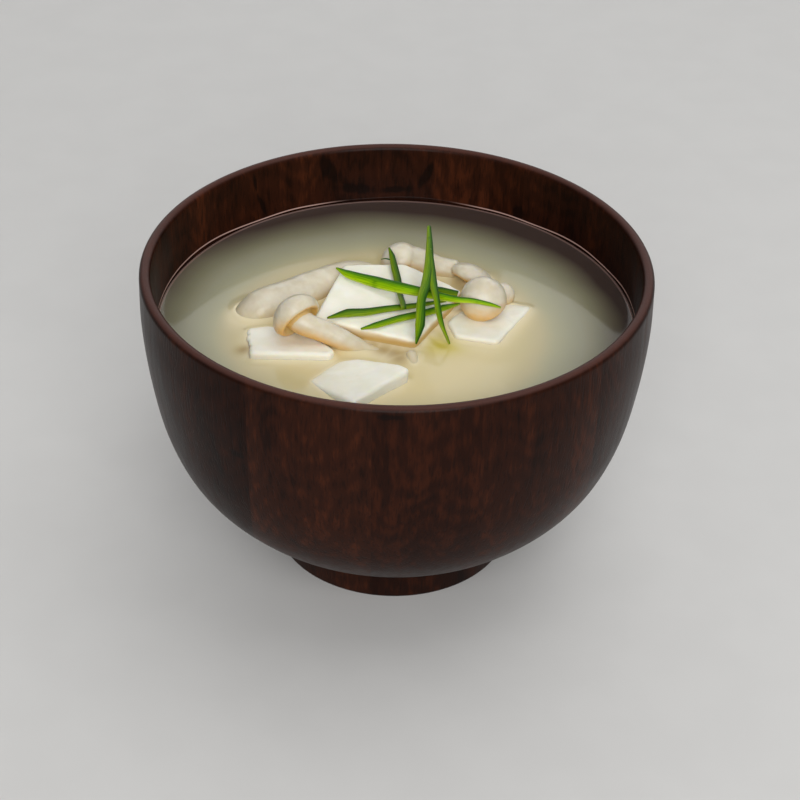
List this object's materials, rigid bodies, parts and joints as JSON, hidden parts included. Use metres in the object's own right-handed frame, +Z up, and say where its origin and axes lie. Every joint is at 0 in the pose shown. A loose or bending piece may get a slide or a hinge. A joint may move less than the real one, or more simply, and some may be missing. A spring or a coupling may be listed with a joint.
{
  "type": "bowl of miso soup",
  "caption": "Wooden soup bowl with a turned foot, filled with pale miso soup, cubes of tofu, shimeji mushrooms and slivers of scallion.",
  "frame": {"origin": "centre of the foot's underside, where the bowl stands", "axes": "+Z up along the bowl's axis, -Y towards the side the soup is served from, +X to the right of it"},
  "size_m": [0.1154, 0.1154, 0.0743],
  "materials": {
    "wood": "satin lacquer",
    "broth": "wet",
    "tofu": "moist",
    "mushroom": "wet",
    "scallion": "waxy"
  },
  "bodies": {
    "root": {"bowl": "wood", "soup": "broth", "tofu_centre": "tofu", "tofu_left": "tofu", "tofu_front": "tofu", "tofu_right": "tofu", "mushroom_left": "mushroom", "mushroom_stalk": "mushroom", "mushroom_back": "mushroom", "mushroom_far": "mushroom", "mushroom_right": "mushroom", "mushroom_small": "mushroom", "mushroom_tip": "mushroom", "scallion_split": "scallion", "scallion_long": "scallion", "scallion_left": "scallion", "scallion_front": "scallion", "scallion_short": "scallion", "scallion_end": "scallion"}
  },
  "joints": []
}
